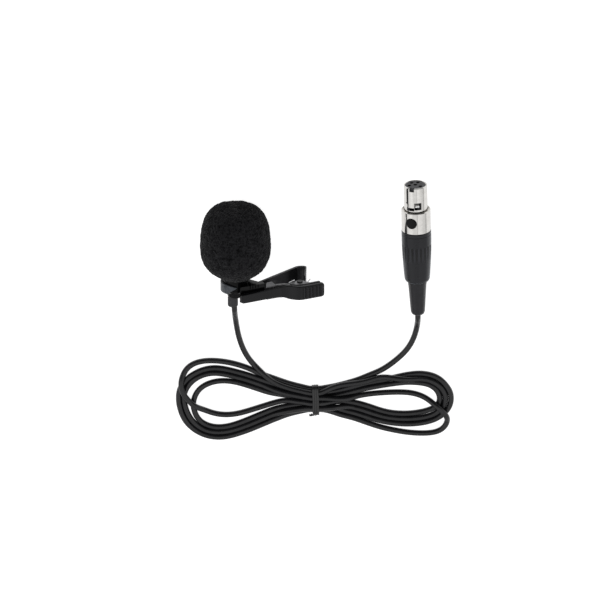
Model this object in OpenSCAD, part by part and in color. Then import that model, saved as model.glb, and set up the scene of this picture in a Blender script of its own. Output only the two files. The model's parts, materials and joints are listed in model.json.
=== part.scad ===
// Lavalier microphone with a foam windscreen, a sprung lapel clip, a thin
// cable tied in a bow and a five-contact miniature screw-lock cable plug.
// Millimetres.  +X to the clip's lever end, +Y to the windscreen's nose,
// +Z up from the surface the microphone lies on.

/* [Microphone] */
// Outer radius of the capsule barrel
barrel_r = 4.7; // [4.5:0.05:4.8]
// Wall thickness of the barrel
barrel_wall = 0.5; // [0.4:0.05:0.6]
// Radial play of the windscreen and of the holder ring on the barrel
barrel_play = 0.05; // [0.02:0.01:0.1]
// Radius of the electret capsule
capsule_r = 3.0; // [2.8:0.05:3.1]
// Largest radius of the foam windscreen
foam_r = 13; // [12.8:0.05:13.1]
// Number of sound holes in the outer circle of the grille
grille_holes = 10; // [6:1:12]

/* [Clip] */
// Tilt of the clip's long axis, in degrees
clip_tilt = 17; // [14:1:18]
// Height of the holder ring along the barrel
ring_h = 3.5; // [3.2:0.1:3.6]
// Outer radius of the holder ring
ring_r = 5.5; // [5.3:0.05:5.6]
// Width of the formed arm
arm_w = 8; // [7:0.1:8]
// Radius of the hinge pin
pin_r = 0.6; // [0.5:0.02:0.65]
// Radial play of the hinge pin in the arm's two eyes
pin_play = 0.05; // [0.02:0.01:0.1]
// Number of grip ribs on the lever
grip_ribs = 6; // [3:1:6]

/* [Cable] */
// Cable diameter
cable_d = 2.1; // [1.8:0.05:2.2]
// Height of the tied bundle
hank_h = 5.3; // [4.6:0.1:5.6]
// Width of the tie band
tie_w = 2.5; // [2:0.1:3]

/* [Plug] */
// Outer radius of the plug's nose
nose_r = 4.33; // [4.25:0.01:4.4]
// Inner radius of the plug's nose
nose_in_r = 3.75; // [3.6:0.05:3.8]
// Outer radius of the plug's collar
collar_r = 5.4; // [5.3:0.05:5.45]
// Radius of the latch button
button_r = 2.0; // [1.9:0.02:2.02]
// Travel of the latch button
button_travel = 0.6; // [0.4:0.1:0.6]
// Outer radius of a contact socket
socket_r = 0.7; // [0.6:0.02:0.7]
// Number of finger flutes on the boot
boot_flutes = 21; // [12:1:22]

/* [Hidden] */

cable_r = cable_d / 2;
bore_r = barrel_r - barrel_wall;
// Shift along Y that puts the origin midway between the windscreen's nose
// and the end of the strain relief
home_y = 0.7;
// Microphone axis: parallel to Y, at this X and this height
mic_x = -9.7;
mic_z = foam_r;
// Origin of the clip's frame along the barrel, and the middle of its holder
// ring from there
ring_y = -12.5;
ring_mid = 0.45;
// Sideways place of the cable in the back of the microphone
exit_x = -0.4;
// Middle of the clip's width, from the centre of the ring
clip_mid = -1.6;
// Hinge pin in the clip's own frame
pin_x = 22.7;
pin_z = 6.5;

// Plug: mating face, height of the axis and yaw
plug_x = 56.2;
plug_y = 24.8;
plug_z = 5.5;
plug_yaw = 1.108;
// Directions round the plug's axis, from straight up towards +X
key_az = -19.5;
window_az = 10.7;
slot_az = -47;
button_s = 13.5;
contact_at = [[-2.25, 0.48], [1.79, 1.45], [0.9, -2.12], [-1.38, -1.84],
    [0, 0]];

// Centre lines of the two free stretches of cable
mic_route = [[-10.1, -20.5, 13], [-10.1, -21.3, 13], [-10, -23.3, 12.8],
    [-9.6, -26.7, 11.9],
    [-8.8, -31.9, 9.8], [-7.9, -36.5, 7.8], [-6.2, -41.8, 5.8],
    [-4.2, -46.4, 4.6], [-2.2, -49.6, 4.1]];
plug_route = [[57.2, -26.9, 5.5], [57.2, -27.7, 5.5], [57.1, -29.7, 5.2],
    [56.5, -34.6, 3.8],
    [55, -38.9, 2.6], [52.6, -43.3, 1.6], [47.9, -48.4, 1.1],
    [44.8, -50.9, 1.1], [41.8, -52.8, 1.1], [40.4, -53.7, 1.1]];

// Sweep of a round section along points
function unit(v) = v / norm(v);
function tangent(p, i) = unit(i == 0 ? p[1] - p[0]
    : i == len(p) - 1 ? p[i] - p[i - 1] : p[i + 1] - p[i - 1]);
function ring_at(p, i, r, n) =
    let (t = tangent(p, i), a = unit(cross(t, [0, 0, 1])), b = cross(a, t))
    [for (k = [0:n - 1]) p[i] + r * cos(360 * k / n) * a
        + r * sin(360 * k / n) * b];

module sweep(p, r, n = 8) {
    m = len(p);
    polyhedron(
        points = [for (i = [0:m - 1]) each ring_at(p, i, r, n)],
        faces = concat(
            [for (k = [1:n - 2]) [0, k, k + 1]],
            [for (k = [1:n - 2]) [(m - 1) * n, (m - 1) * n + k + 1,
                (m - 1) * n + k]],
            [for (i = [0:m - 2]) for (k = [0:n - 1])
                [i * n + k, (i + 1) * n + k, i * n + (k + 1) % n]],
            [for (i = [0:m - 2]) for (k = [0:n - 1])
                [(i + 1) * n + k, (i + 1) * n + (k + 1) % n,
                    i * n + (k + 1) % n]]
        ));
}

// Straight round rod between two points
module rod(a, b, r, fn = 24) {
    v = b - a;
    translate(a)
        rotate([0, acos(v[2] / norm(v)), atan2(v[1], v[0])])
            cylinder(h = norm(v), r = r, $fn = fn);
}

// Disc or tube along the local Z axis, from z0 to z1
module tube(z0, z1, r, ri = 0, fn = 96) {
    translate([0, 0, z0])
        difference() {
            cylinder(h = z1 - z0, r = r, $fn = fn);
            if (ri > 0)
                translate([0, 0, -1])
                    cylinder(h = z1 - z0 + 2, r = ri, $fn = fn);
        }
}

// Local Z along the microphone's axis, towards the windscreen's nose
module on_mic() {
    translate([mic_x, home_y, mic_z]) rotate([-90, 0, 0]) children();
}

// Clip frame: X along the lever, Z out through the lever's face
module on_clip() {
    translate([mic_x, ring_y + home_y, mic_z])
        rotate([0, clip_tilt, 0]) children();
}

// Outline in the clip's XZ plane, extruded from y1 down to y0
module side(y0, y1) {
    translate([0, y1, 0]) rotate([90, 0, 0])
        linear_extrude(y1 - y0) children();
}

// Plug frame: Z from the mating face to the cable, Y up, X to the right
module on_plug() {
    translate([plug_x, plug_y + home_y, plug_z]) rotate([0, 0, plug_yaw])
        rotate([90, 0, 0]) children();
}

// Turns the plug's local Y towards the given direction
module at_az(az) {
    rotate([0, 0, -az]) children();
}

// ---------------------------------------------------------- microphone
module windscreen() {
    color([0.07, 0.07, 0.08]) on_mic()
        rotate_extrude($fn = 96)
            polygon([[0, 19.1], [2.6, 19.06], [4.6, 18.96], [6, 18.78],
                [7.2, 18.5], [8.3, 18.05], [9.2, 17.45], [9.95, 16.7],
                [10.6, 15.8], [11.2, 14.7], [11.7, 13.4], [12.15, 11.9],
                [12.5, 10.2], [12.75, 8.4], [12.93, 6.4],
                [foam_r, 4.4], [12.97, 2.4], [12.82, 0.6],
                [12.45, -1], [11.9, -2.5], [11.2, -3.8], [10.3, -5],
                [9.3, -6], [8.3, -6.8], [7.3, -7.55], [6.4, -8.2],
                [5.7, -8.6], [5.2, -8.75],
                [barrel_r + barrel_play, -8.6],
                [barrel_r + barrel_play, 5], [0, 5]]);
}

module mic_housing() {
    color([0.3, 0.3, 0.32]) on_mic() {
        rotate_extrude($fn = 96)
            polygon([[bore_r, -12.7], [barrel_r - 0.15, -12.7],
                [barrel_r, -12.55], [barrel_r, 3.5], [bore_r, 3.5]]);
    }
}

module mic_grille() {
    color([0.25, 0.25, 0.27]) on_mic()
        difference() {
            rotate_extrude($fn = 96)
                polygon([[0, 3.5], [3.6, 3.5], [3.6, 2.95], [bore_r, 2.95],
                    [bore_r, 3.5], [barrel_r, 3.5], [barrel_r, 4.3],
                    [barrel_r - 0.4, 4.7], [0, 4.7]]);
            translate([0, 0, 3]) cylinder(h = 3, r = 0.35, $fn = 24);
            for (i = [0:5])
                rotate([0, 0, 60 * i]) translate([1.45, 0, 3])
                    cylinder(h = 3, r = 0.35, $fn = 24);
            for (i = [0:grille_holes - 1])
                rotate([0, 0, 360 / grille_holes * i])
                    translate([2.85, 0, 3])
                        cylinder(h = 3, r = 0.35, $fn = 24);
        }
}

module electret_capsule() {
    color([0.75, 0.75, 0.76]) on_mic()
        difference() {
            tube(0.1, 2.8, capsule_r);
            tube(2.6, 3, capsule_r - 0.5);
            translate([0, 0, 2]) cylinder(h = 2, r = 0.5, $fn = 32);
        }
}

module capsule_holder() {
    color([0.12, 0.12, 0.12]) on_mic()
        difference() {
            tube(-0.7, 2.9, bore_r);
            tube(0.1, 4, capsule_r);
            for (s = [-1, 1]) translate([1.27 * s, 0, -1])
                cylinder(h = 2, r = 0.4, $fn = 32);
        }
}

module capsule_board() {
    color([0.1, 0.35, 0.2]) on_mic() {
        tube(-2.9, -2.1, bore_r - 0.2);
        for (s = [-1, 1]) translate([1.27 * s, 0, -2.5])
            cylinder(h = 2.6, r = 0.25, $fn = 24);
        translate([-1.4, -2.2, -3.5]) cube([1.8, 1.1, 0.9]);
        translate([0.9, 0.8, -3.4]) cube([1.4, 1, 0.8]);
    }
}

module mic_wires() {
    color([0.6, 0.2, 0.15]) on_mic() {
        for (i = [0:2])
            rod([2.1 * cos(120 * i + 80), 2.1 * sin(120 * i + 80), -2.95],
                [exit_x + 0.5 * cos(120 * i + 80), 0.5 * sin(120 * i + 80),
                    -10.6], 0.28);
        translate([exit_x, 0, 0]) tube(-20.5, -10.2, cable_r, fn = 48);
    }
}

module rear_cap() {
    color([0.3, 0.3, 0.32]) on_mic()
        rotate_extrude($fn = 96)
            polygon([[2.1, -10.8], [2.1, -16.4], [2.6, -16.4],
                [2.85, -16.25], [2.95, -16], [3, -14.7], [3.2, -14.25],
                [3.6, -14], [4.25, -13.85], [barrel_r, -13.4],
                [barrel_r, -12.7], [bore_r, -12.7], [bore_r, -10.8]]);
}

module strain_relief() {
    color([0.08, 0.08, 0.08]) on_mic()
        difference() {
            union() {
                tube(-10.8, -10.4, 2.6);
                tube(-16.6, -10.8, 2.1);
                translate([-0.95, 0, 0])
                    rotate_extrude($fn = 64)
                        polygon([[0, -16.4], [1.85, -16.4],
                            [1.9, -17], [1.9, -19.9], [1.82, -20.2],
                            [1.6, -20.42], [1.3, -20.5], [0, -20.5]]);
            }
            translate([exit_x, 0, 0]) tube(-22, -9, cable_r, fn = 48);
        }
}

// ---------------------------------------------------------------- clip
// Band round the barrel in the clip's frame; the part of it inside the
// given sector is left
module band() {
    y0 = ring_mid - ring_h / 2;
    side(y0, y0 + ring_h)
        intersection() {
            difference() {
                circle(r = ring_r, $fn = 96);
                circle(r = barrel_r + barrel_play, $fn = 96);
            }
            children();
        }
}

// The ring stops short of a full circle and its open end narrows to a point
module holder_ring() {
    color([0.36, 0.38, 0.42])
        difference() {
            on_clip() band()
                difference() {
                    square(20, center = true);
                    polygon([[0, 0], [20, 2.6], [20, 20], [-3.1, 20]]);
                }
            translate([mic_x, ring_y + home_y, mic_z])
                linear_extrude(8)
                    polygon([[-2.75, -2.5], [-2.75, -1.15],
                        [-2.45, -0.7], [-1.54, 0.03], [0.55, 1.37],
                        [-1.1, 1.85], [-2.8, 2.22], [-2.8, 3], [5.8, 3],
                        [5.8, -2.5]]);
        }
}

module arm_eye(y0, y1) {
    side(y0, y1)
        difference() {
            union() {
                translate([pin_x, pin_z]) circle(r = 1.35, $fn = 48);
                polygon([[25.38, 3.2], [25.98, 3.2], [25.1, 5.6],
                    [24.5, 6.9], [23.4, 7.65], [22.9, 6.2], [23.8, 5]]);
            }
            translate([pin_x, pin_z])
                circle(r = pin_r + pin_play, $fn = 48);
        }
}

module clip_arm() {
    color([0.03, 0.03, 0.035]) on_clip() {
        difference() {
            intersection() {
                side(-7, 3)
                    polygon([[-0.3, 6.95], [0.1, 7.05], [3.2, 6.95],
                        [9.3, 6.05], [9.3, 5.1], [8.9, 4.15],
                        [24.9, -4.3], [25.4, -4.6], [26.1, -4.78],
                        [26.8, -4.66], [27.35, -4.4], [27.7, -4],
                        [27.75, -3.6], [25.24, 3.6], [25.86, 3.6],
                        [28.4, -3.8], [28.38, -4.2], [28.2, -4.6],
                        [27.95, -4.86], [27.6, -5.05], [26.9, -5.28],
                        [26.2, -5.42], [25.6, -5.45], [25, -5.35],
                        [24.5, -5.15], [7.75, 3.7], [5.4, 5.1],
                        [4.6, 5.95], [-0.3, 6.45]]);
                translate([0, clip_mid + 4, -9]) linear_extrude(22)
                    polygon([[-0.5, -5.4], [-0.3, -6], [0.2, -6.3],
                        [4, -6.3], [9.4, -6.4], [14, 0.1 - arm_w],
                        [28.6, -arm_w], [28.6, 0], [0.3, 0], [-0.1, -0.15],
                        [-0.5, -0.6]]);
            }
            // Teeth along the jaw plate's edge
            for (i = [0:3])
                side(1.2, 3)
                    translate([3.6 + 1.05 * i, 6.89 - 0.155 * i])
                        polygon([[-0.32, 0.2], [0.32, 0.2], [0, -0.25]]);
        }
        arm_eye(-0.1, 0.6);
        arm_eye(-3.8, -3.1);
        // Seat that carries the ring
        band() polygon([[0, 0], [8, 9.2], [20, 9.2], [20, 2.6]]);
        difference() {
            side(ring_mid - ring_h / 2, ring_mid + ring_h / 2)
                polygon([[3.61, 4.15], [5.4, 5.1], [7.75, 3.7],
                    [7.4, 2.9], [5.45, 0.72], [4.95, 0.9],
                    [4.45, 2.4]]);
            rotate([90, 0, 0]) translate([0, 0, -6])
                cylinder(h = 12, r = barrel_r + barrel_play, $fn = 96);
        }
    }
}

module clip_lever() {
    color([0.16, 0.16, 0.18]) on_clip() {
        intersection() {
            side(clip_mid - 3, clip_mid + 3)
                polygon([[-0.55, 8.6], [-0.4, 9.2], [0.1, 9.4], [1.2, 9.35],
                    [5, 8.7], [9.2, 7.95], [12, 7.35], [13.6, 7.08],
                    [14.6, 7], [15.6, 7.1], [16.5, 7.35], [17.4, 7.8],
                    [18.3, 8.35], [19.2, 9], [20, 9.6], [20.6, 10],
                    [21.3, 10.3], [22.1, 10.42], [23, 10.45],
                    [25, 10.25], [29.4, 9.7], [30.9, 9.5], [31.25, 9.1],
                    [31.3, 8.5], [31, 8], [30.4, 7.8], [29.4, 7.9],
                    [25, 8.45], [23, 8.65], [21.3, 8.5], [20, 7.8],
                    [18.3, 6.7], [16.5, 5.85], [14.6, 5.6], [12, 5.95],
                    [9.2, 6.45], [5, 7.1], [0.2, 7.75], [-0.35, 7.95]]);
            translate([0, clip_mid, 0])
                linear_extrude(20)
                    polygon([[-0.6, -0.9], [-0.35, -1.35], [0.3, -1.7],
                        [9, -1.83], [14.6, -1.95], [15.8, -2.05],
                        [17, -2.35], [18, -2.7], [18.8, -2.75],
                        [29.6, -2.65], [30.5, -2.4], [31.1, -1.9],
                        [31.5, -1.1], [31.5, 1.1], [31.1, 1.9],
                        [30.5, 2.4], [29.6, 2.65], [18.8, 2.75],
                        [18, 2.7], [17, 2.35], [15.8, 2.05],
                        [14.6, 1.95], [9, 1.83], [0.3, 1.7],
                        [-0.35, 1.35], [-0.6, 0.9]]);
        }
        for (i = [0:grip_ribs - 1])
            translate([23.3 + 1.4 * i, clip_mid + 2.3,
                    10.24 - 0.168 * i])
                rotate([90, 0, 0]) cylinder(h = 4.6, r = 0.4, $fn = 32);
    }
}

module liner_ear(y0, y1) {
    side(y0, y1)
        difference() {
            union() {
                translate([pin_x, pin_z]) circle(r = 1.6, $fn = 48);
                polygon([[18.8, 6.8], [19.2, 6.35], [21.5, 5.45],
                    [23.9, 5.45], [26, 7.6], [26, 8.2], [23, 8.5],
                    [21.4, 8.3], [20, 7.6]]);
            }
            translate([pin_x, pin_z]) circle(r = pin_r, $fn = 48);
        }
}

module lever_liner() {
    color([0.45, 0.45, 0.46]) on_clip() {
        intersection() {
            side(clip_mid - 4.2, clip_mid + 4.2)
                polygon([[9.8, 6.35], [12, 5.95], [14.6, 5.6],
                    [16.5, 5.85], [18.3, 6.7], [20, 7.8], [21.3, 8.5],
                    [23, 8.65], [25, 8.45], [29.4, 7.9], [30.2, 7.82],
                    [30.2, 7.3], [29.4, 7.36],
                    [25, 7.92], [23, 8.12], [21.5, 8], [20.3, 7.3],
                    [18.6, 6.2], [16.8, 5.35], [14.6, 5.1],
                    [12, 5.4], [10.3, 5.7], [9.9, 5.2]]);
            translate([0, clip_mid, 0])
                linear_extrude(20)
                    polygon([[9.7, -2.2], [10.1, -2.6], [13.6, -2.65],
                        [18.6, -2.7], [19.1, -3], [29.6, -3],
                        [30.05, -2.85], [30.2, -2.4], [30.2, 2.4],
                        [30.05, 2.85], [29.6, 3], [19.1, 3],
                        [18.6, 2.7], [13.6, 2.7], [13, 3.2], [12.3, 4],
                        [10.2, 4], [9.7, 3.6]]);
        }
        liner_ear(clip_mid + 2.45, clip_mid + 3);
        liner_ear(clip_mid - 3, clip_mid - 2.45);
    }
}

module clip_pin() {
    color([0.7, 0.7, 0.7]) on_clip()
        translate([pin_x, 0, pin_z]) rotate([90, 0, 0]) {
            translate([0, 0, -clip_mid - 3.4])
                cylinder(h = 6.7, r = pin_r, $fn = 48);
            translate([0, 0, -clip_mid - 3.45])
                cylinder(h = 0.45, r1 = 1, r2 = 1.15, $fn = 48);
            translate([0, 0, -clip_mid + 3])
                cylinder(h = 0.35, r = 0.95, $fn = 48);
        }
}

// Coil round the pin; the left leg runs forward outside the ear and the
// right one crosses over to hook behind the arm's back wall
module clip_spring() {
    coil = [for (i = [0:48])
        [cos(250 + i * 30.4167) * 1.02, sin(250 + i * 30.4167) * 1.02,
            -1.05 + i * 0.04375]];
    color([0.6, 0.6, 0.61]) on_clip()
        translate([pin_x, clip_mid, pin_z]) rotate([90, 0, 0])
            sweep(concat([[-4.5, 0.7, -3.55], [-3.4, 0, -3.55],
                    [-2.4, -0.7, -3.5], [-1.8, -1.28, -3.4],
                    [-1.55, -1.5, -3.1], [-1.45, -1.55, -2.6],
                    [-1.35, -1.52, -2.1], [-1.25, -1.47, -1.6],
                    [-1.1, -1.42, -1.28], [-0.8, -1.2, -1.13]], coil,
                [[0.7, -1.12, 1.1], [1.5, -1.6, 0.9], [2.3, -2, 0.3],
                    [3, -2.2, -0.5], [3.7, -2.75, -1.05],
                    [4.5, -3.75, -1.2], [5.6, -5.3, -1.2]]), 0.22, 8);
}

// --------------------------------------------------------------- cable
module cable_mic_lead() {
    color([0.06, 0.06, 0.06]) translate([0, home_y, 0])
        sweep(mic_route, cable_r, 8);
}

module cable_connector_lead() {
    color([0.06, 0.06, 0.06]) translate([0, home_y, 0])
        sweep(plug_route, cable_r, 8);
}

function arc(c, r, a0, a1, n) =
    [for (i = [0:n]) c + r * [cos(a0 + (a1 - a0) * i / n),
        sin(a0 + (a1 - a0) * i / n)]];

module cable_hank() {
    color([0.06, 0.06, 0.06]) translate([0, home_y, 0])
        difference() {
            linear_extrude(hank_h)
                polygon(concat(arc([-16.5, -63.2], 15.6, 72, 286, 30),
                    [[-5.7, -76.6], [1.4, -73.4], [8.4, -70.2],
                    [17.6, -68.3], [21.6, -68.3], [28, -69.8],
                    [34.1, -72.2], [44.8, -76]],
                    arc([57.8, -65.2], 12.9, -98, 100, 28),
                    [[41, -53.4], [31.2, -55.4], [21.6, -57.9],
                    [17.6, -57.9], [11.4, -57], [4.8, -54.5],
                    [-3.3, -50.9]]));
            translate([19.6 - tie_w / 2 - 0.05, -75, 4.35])
                cube([tie_w + 0.1, 20, 5]);
            translate([19.6 - tie_w / 2 - 0.05, -75, -1])
                cube([tie_w + 0.1, 20, 1.35]);
        }
}

module cable_tie() {
    color([0.04, 0.04, 0.04])
        translate([19.6 - tie_w / 2, home_y - 63.1, 2.35]) rotate([90, 0, 90])
            linear_extrude(tie_w)
                difference() {
                    union() {
                        square([9.1, 4.6], center = true);
                        for (s = [-1, 1]) translate([4.55 * s, 0])
                            intersection() {
                                circle(r = 2.3, $fn = 48);
                                translate([0.5 * s, 0])
                                    square([2, 6], center = true);
                            }
                    }
                    square([10.2, 4], center = true);
                }
}

// ---------------------------------------------------------------- plug
module connector_nose() {
    color([0.86, 0.85, 0.82]) on_plug()
        difference() {
            rotate_extrude($fn = 96)
                polygon([[nose_in_r, 0.15], [nose_in_r + 0.12, 0],
                    [nose_r - 0.12, 0], [nose_r, 0.15], [nose_r, 10.2],
                    [nose_r - 0.18, 10.3], [nose_r - 0.18, 16],
                    [nose_in_r, 16]]);
            at_az(key_az) translate([-0.9, 3, -1]) cube([1.8, 2, 2.3]);
            at_az(slot_az) translate([-0.25, 3, 0.6]) cube([0.5, 2, 5.7]);
            at_az(slot_az) translate([-0.6, 3, 5.9]) cube([1.2, 2, 0.45]);
            at_az(window_az) translate([-1.32, 3, 5.75])
                cube([2.64, 2, 2.75]);
            translate([0, 0, 7.7]) linear_extrude(1.2)
                polygon([[0, 0], [-6.69, 6.02], [-4, 8.2],
                    [-1.25, 8.91]]);
            at_az(key_az) translate([0, 2, button_s]) rotate([-90, 0, 0])
                cylinder(h = 6, r = button_r + 0.1, $fn = 64);
        }
}

module contact_insert() {
    color([0.45, 0.45, 0.46]) on_plug()
        difference() {
            tube(0.1, 16, nose_in_r);
            for (c = contact_at) translate([c[0], c[1], 0.3])
                cylinder(h = 20, r = socket_r, $fn = 32);
            for (c = contact_at) translate([c[0], c[1], -0.5])
                cylinder(h = 2, r = 0.64, $fn = 32);
            at_az(key_az) translate([-0.9, 3.1, -0.5]) cube([1.8, 2, 5.5]);
            at_az(key_az) translate([-1.35, 1.6, 5.7])
                cube([4.3, 4, 20]);
            at_az(key_az) translate([0, 1.6, button_s])
                rotate([-90, 0, 0])
                    cylinder(h = 6, r = button_r + 0.15, $fn = 64);
            at_az(key_az) translate([0, 0.9, 14.2])
                rotate([-90, 0, 0]) cylinder(h = 3, r = 0.95, $fn = 48);
        }
}

module contact(i) {
    color([0.85, 0.65, 0.3]) on_plug()
        translate([contact_at[i][0], contact_at[i][1], 0])
            difference() {
                tube(0.3, 10.5, socket_r, fn = 48);
                tube(0, 7.4, 0.5, fn = 32);
                translate([0, 0, 9]) cylinder(h = 3, r = 0.45, $fn = 32);
            }
}
module contact_1() { contact(0); }
module contact_2() { contact(1); }
module contact_3() { contact(2); }
module contact_4() { contact(3); }
module contact_5() { contact(4); }

module latch_plate() {
    color([0.75, 0.75, 0.76]) on_plug() {
        at_az(key_az) translate([-1.2, 2.3, 6]) cube([2.3, 0.4, 9.5]);
        intersection() {
            at_az(window_az)
                rotate([0, 90, 0]) translate([0, 0, -0.9])
                    linear_extrude(1.45)
                        polygon([[-6.45, 1.5], [-6.45, 3.3],
                            [-7.05, 3.95], [-7.55, 3.98], [-7.75, 3.8],
                            [-7.75, 1.5]]);
            at_az(key_az) translate([-3, 2.3, 5]) cube([7, 4, 4]);
        }
    }
}

module latch_button() {
    color([0.05, 0.05, 0.05]) on_plug()
        at_az(key_az) translate([0, 0, button_s]) rotate([-90, 0, 0])
            rotate_extrude($fn = 64)
                polygon([[0, 2.7], [button_r, 2.7], [button_r, 5.3],
                    [button_r - 0.2, 5.5], [button_r - 0.7, 5.62],
                    [0.6, 5.68], [0, 5.69]]);
}

module latch_spring() {
    coil = [for (i = [0:36]) [0.68 * cos(30 * i), 0.68 * sin(30 * i),
        0.14 + i * 0.0305]];
    color([0.6, 0.6, 0.6]) on_plug()
        at_az(key_az) translate([0, 0.9, 14.2]) rotate([-90, 0, 0])
            sweep(coil, 0.12, 6);
}

module connector_collar() {
    color([0.86, 0.85, 0.82]) on_plug()
        difference() {
            rotate_extrude($fn = 96)
                polygon([[4.95, 9.6], [collar_r - 0.2, 9.6],
                    [collar_r, 9.8], [collar_r, 17.8],
                    [collar_r - 0.15, 18], [4.6, 18], [4.6, 21],
                    [4, 21], [4, 18], [nose_r - 0.18, 17.6],
                    [nose_r - 0.18, 10.6], [4.95, 10.4]]);
            at_az(key_az) translate([0, 2, button_s])
                rotate([-90, 0, 0])
                    cylinder(h = 6, r = button_r + 0.1, $fn = 64);
        }
}

module cable_clamp() {
    color([0.72, 0.72, 0.73]) on_plug()
        difference() {
            union() {
                tube(21.2, 22.2, 3.9);
                difference() {
                    tube(22, 29, 3.2);
                    translate([-1.6, -5, 22.2]) cube([3.2, 10, 5]);
                }
            }
            tube(20, 26.4, 2.6);
            tube(20, 30, cable_r, fn = 48);
        }
}

module connector_wires() {
    color([0.2, 0.3, 0.6]) on_plug() {
        for (c = contact_at) {
            rod([c[0], c[1], 10], [c[0], c[1], 17], 0.36);
            rod([c[0], c[1], 16.2], [0.32 * c[0], 0.32 * c[1], 25], 0.24);
        }
        tube(24.6, 51.7, cable_r, fn = 48);
    }
}

module connector_boot() {
    color([0.25, 0.25, 0.27]) on_plug()
        difference() {
            rotate_extrude($fn = 96)
                polygon([[4.6, 18], [5.3, 18], [5.45, 18.15], [5.45, 19],
                    [5.36, 19.1], [5.36, 19.4], [5.45, 19.5],
                    [5.45, 22.5], [5.36, 26], [5.2, 29.5], [5.02, 32.5],
                    [4.8, 35.5], [4.65, 37.2], [4.4, 37.9], [3.95, 38.2],
                    [3, 38.2], [3, 35.6], [4, 34.8], [4, 21],
                    [4.6, 21]]);
            for (i = [0:boot_flutes - 1])
                rotate([0, 0, 360 / boot_flutes * i])
                    translate([0, 5.6, 23.4])
                        cylinder(h = 6, r = 0.45, $fn = 32);
        }
}

module boot_relief() {
    color([0.1, 0.1, 0.1]) on_plug()
        rotate_extrude($fn = 64)
            polygon([[cable_r, 34], [3.7, 34], [3.7, 34.8], [3, 35.6],
                [3, 38.2], [3.45, 38.2], [3.5, 38.8], [3.3, 40.5],
                [3.05, 44], [2.8, 48], [2.6, 50.6], [2.3, 51.4],
                [1.9, 51.7], [cable_r, 51.7]]);
}

windscreen();
mic_housing();
mic_grille();
electret_capsule();
capsule_holder();
capsule_board();
mic_wires();
rear_cap();
strain_relief();
holder_ring();
clip_arm();
clip_lever();
lever_liner();
clip_pin();
clip_spring();
cable_mic_lead();
cable_hank();
cable_tie();
cable_connector_lead();
connector_nose();
contact_insert();
contact_1();
contact_2();
contact_3();
contact_4();
contact_5();
latch_plate();
latch_button();
latch_spring();
connector_collar();
cable_clamp();
connector_wires();
connector_boot();
boot_relief();
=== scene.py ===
import bpy
import bmesh
import json
import math

import numpy as np
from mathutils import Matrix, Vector


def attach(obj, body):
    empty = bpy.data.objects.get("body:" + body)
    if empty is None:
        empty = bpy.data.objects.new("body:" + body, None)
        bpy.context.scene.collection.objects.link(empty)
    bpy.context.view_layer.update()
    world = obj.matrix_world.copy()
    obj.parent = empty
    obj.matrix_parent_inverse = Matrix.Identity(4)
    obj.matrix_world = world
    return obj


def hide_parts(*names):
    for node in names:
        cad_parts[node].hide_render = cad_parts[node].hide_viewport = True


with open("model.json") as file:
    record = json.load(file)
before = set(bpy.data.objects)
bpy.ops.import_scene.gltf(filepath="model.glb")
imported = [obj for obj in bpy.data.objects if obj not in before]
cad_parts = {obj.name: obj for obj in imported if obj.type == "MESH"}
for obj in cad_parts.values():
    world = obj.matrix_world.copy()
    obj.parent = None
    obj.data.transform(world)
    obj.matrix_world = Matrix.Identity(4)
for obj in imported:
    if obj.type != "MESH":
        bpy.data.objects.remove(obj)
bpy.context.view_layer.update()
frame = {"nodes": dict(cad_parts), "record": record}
nodes = frame["nodes"]
scene = bpy.context.scene
MM = 0.001

# ------------------------------------------------------------------ camera
TARGET = Vector((0.01395, -0.02324, 0.0))
TILT = math.radians(24)
REACH = 10.0
cam_data = bpy.data.cameras.new("camera")
cam_data.sensor_width = 36
cam_data.lens = 36 * REACH / 0.2202
cam_data.clip_start = 0.5
cam_data.clip_end = 30
cam = bpy.data.objects.new("camera", cam_data)
scene.collection.objects.link(cam)
cam.location = TARGET + REACH * Vector((0, math.sin(TILT), math.cos(TILT)))
cam.rotation_euler = (-TILT, 0, 0)
scene.camera = cam

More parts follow.
